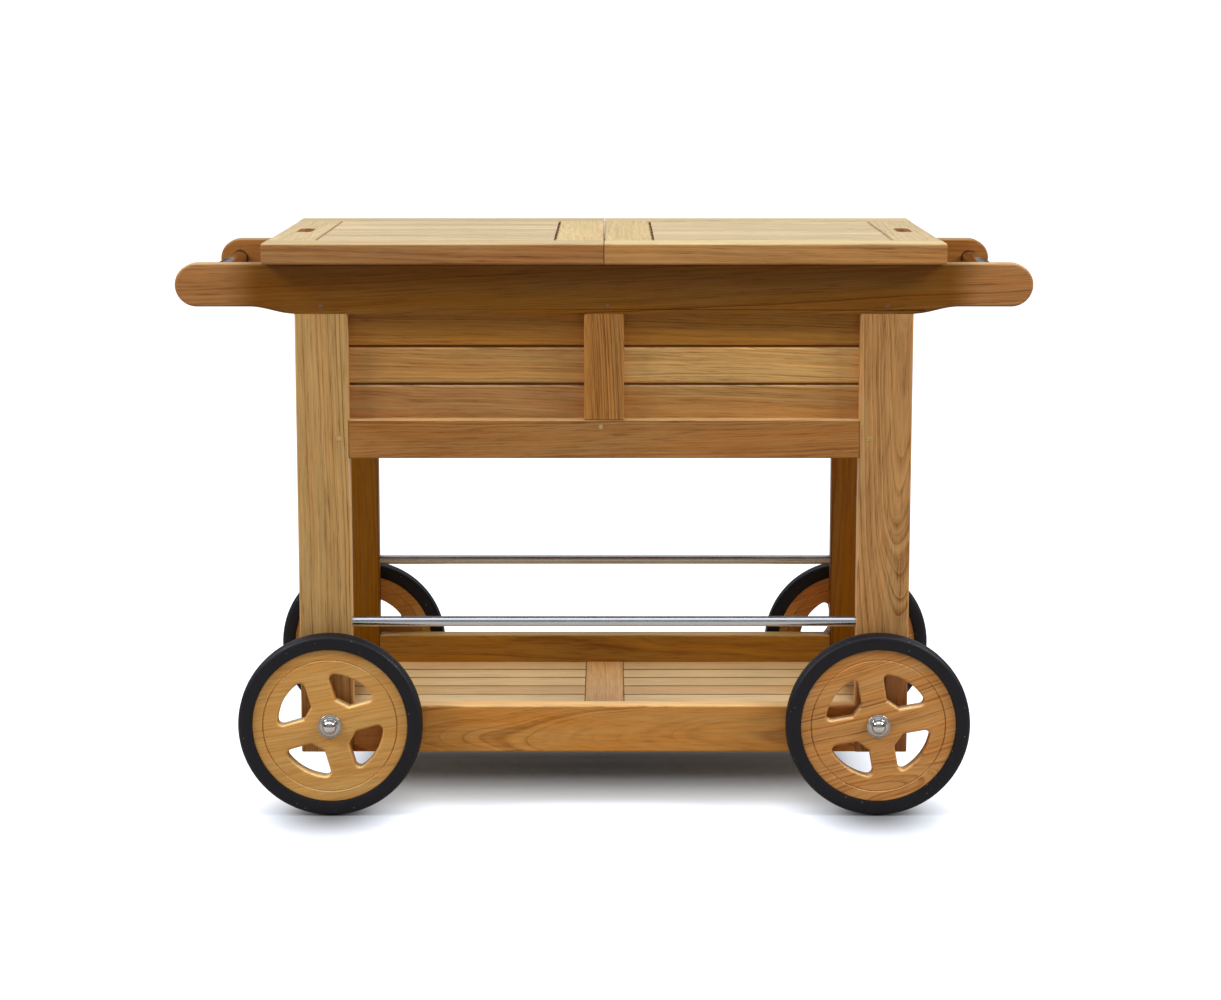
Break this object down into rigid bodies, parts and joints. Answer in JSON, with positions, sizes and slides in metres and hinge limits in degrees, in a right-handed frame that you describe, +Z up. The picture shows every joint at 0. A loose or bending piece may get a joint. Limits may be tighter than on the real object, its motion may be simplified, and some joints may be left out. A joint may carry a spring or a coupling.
{
  "type": "bar cart",
  "caption": "Teak serving cart with a slatted box under two sliding lids, a planked lower shelf with guard rods, handlebars and spoked wooden wheels.",
  "frame": {"origin": "on the floor below the centre of the cart's footprint", "axes": "+X along the cart to the right seen from the front, the front faces -Y, +Z up"},
  "size_m": [1.3268, 0.6454, 0.9],
  "materials": {
    "teak_frame": "sanded and oiled teak, honey brown",
    "teak_slats": "sanded and oiled teak slats, honey brown",
    "teak_shelf": "sanded teak planks, pale honey",
    "teak_lids": "sanded teak boards, pale honey on top",
    "teak_wheels": "sanded and oiled teak discs, orange brown",
    "teak_pegs": "teak end grain",
    "polished_stainless": "polished stainless steel",
    "satin_stainless": "satin stainless steel",
    "bush_metal": "turned steel bush",
    "rubber_tyres": "solid black rubber, matt"
  },
  "bodies": {
    "cart": {"front_handle_rail": "teak_frame", "rear_handle_rail": "teak_frame", "front_left_post": "teak_frame", "front_right_post": "teak_frame", "rear_left_post": "teak_frame", "rear_right_post": "teak_frame", "front_box_rail": "teak_frame", "rear_box_rail": "teak_frame", "front_stile": "teak_frame", "rear_stile": "teak_frame", "left_end_top_rail": "teak_frame", "right_end_top_rail": "teak_frame", "left_end_bottom_rail": "teak_frame", "right_end_bottom_rail": "teak_frame", "box_divider": "teak_frame", "front_apron": "teak_frame", "rear_apron": "teak_frame", "left_apron": "teak_frame", "right_apron": "teak_frame", "support_cleats": "teak_frame", "front_left_slats": "teak_slats", "front_right_slats": "teak_slats", "rear_left_slats": "teak_slats", "rear_right_slats": "teak_slats", "left_end_slats": "teak_slats", "right_end_slats": "teak_slats", "box_floor_planks": "teak_slats", "shelf_centre_board": "teak_shelf", "shelf_planks": "teak_shelf", "joint_pegs": "teak_pegs", "left_handlebar": "polished_stainless", "right_handlebar": "polished_stainless", "cap_nuts": "polished_stainless", "front_guard_rod": "satin_stainless", "rear_guard_rod": "satin_stainless", "axle_washers": "satin_stainless", "axle_bolts": "satin_stainless"},
    "left_lid": {"left_lid_rails": "teak_lids", "left_lid_inner_board": "teak_lids", "left_lid_outer_board": "teak_lids", "left_lid_planks": "teak_lids", "left_lid_battens": "teak_lids"},
    "right_lid": {"right_lid_rails": "teak_lids", "right_lid_inner_board": "teak_lids", "right_lid_outer_board": "teak_lids", "right_lid_planks": "teak_lids", "right_lid_battens": "teak_lids"},
    "front_left_wheel": {"front_left_disc": "teak_wheels", "front_left_tyre": "rubber_tyres", "front_left_bush": "bush_metal"},
    "front_right_wheel": {"front_right_disc": "teak_wheels", "front_right_tyre": "rubber_tyres", "front_right_bush": "bush_metal"},
    "rear_left_wheel": {"rear_left_disc": "teak_wheels", "rear_left_tyre": "rubber_tyres", "rear_left_bush": "bush_metal"},
    "rear_right_wheel": {"rear_right_disc": "teak_wheels", "rear_right_tyre": "rubber_tyres", "rear_right_bush": "bush_metal"}
  },
  "joints": [
    {"name": "left_lid_slide", "type": "slide", "parent": "cart", "child": "left_lid", "axis": [-1, 0, 0], "range_m": [0, 0.32]},
    {"name": "right_lid_slide", "type": "slide", "parent": "cart", "child": "right_lid", "axis": [1, 0, 0], "range_m": [0, 0.32]},
    {"name": "front_left_wheel_spin", "type": "hinge", "parent": "cart", "child": "front_left_wheel", "pos_m": [-0.43, -0.294, 0.145], "axis": [0, 1, 0], "continuous": true},
    {"name": "front_right_wheel_spin", "type": "hinge", "parent": "cart", "child": "front_right_wheel", "pos_m": [0.43, -0.294, 0.145], "axis": [0, 1, 0], "continuous": true},
    {"name": "rear_left_wheel_spin", "type": "hinge", "parent": "cart", "child": "rear_left_wheel", "pos_m": [-0.43, 0.294, 0.145], "axis": [0, 1, 0], "continuous": true},
    {"name": "rear_right_wheel_spin", "type": "hinge", "parent": "cart", "child": "rear_right_wheel", "pos_m": [0.43, 0.294, 0.145], "axis": [0, 1, 0], "continuous": true}
  ]
}
